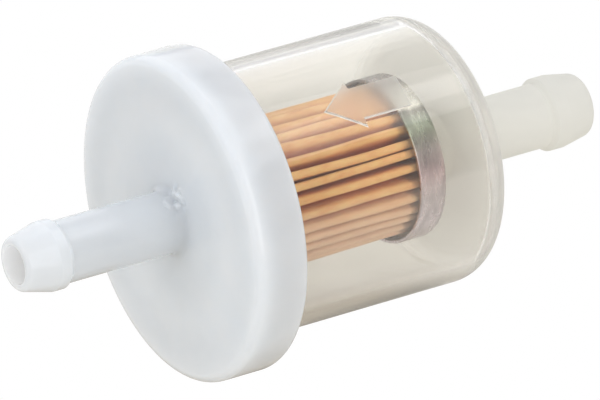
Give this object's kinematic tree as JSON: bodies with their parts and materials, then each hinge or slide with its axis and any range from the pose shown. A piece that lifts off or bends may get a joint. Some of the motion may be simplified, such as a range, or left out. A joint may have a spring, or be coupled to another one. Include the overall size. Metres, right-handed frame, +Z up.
{
  "type": "inline fuel filter",
  "caption": "Inline fuel filter: clear bowl and white cap with barbed hose stems, pleated paper element and steel end cup inside, flow arrow on the bowl.",
  "frame": {"origin": "on the flow axis, midway between the two stem tips", "axes": "+X along the flow axis towards the clear inlet end, -X towards the white outlet cap, +Z up"},
  "size_m": [0.0698, 0.035, 0.035],
  "materials": {
    "clear_plastic": "clear with a slight warm haze",
    "white_plastic": "milky white, satin gloss",
    "filter_paper": "resin-treated, matte",
    "plated_steel": "zinc plated, faintly iridescent",
    "adhesive": "cured adhesive, satin"
  },
  "bodies": {
    "root": {"clear_bowl": "clear_plastic", "outlet_cap": "white_plastic", "pleated_paper": "filter_paper", "steel_end_cup": "plated_steel", "cup_adhesive": "adhesive", "cap_adhesive": "adhesive", "paper_seam": "adhesive"}
  },
  "joints": []
}
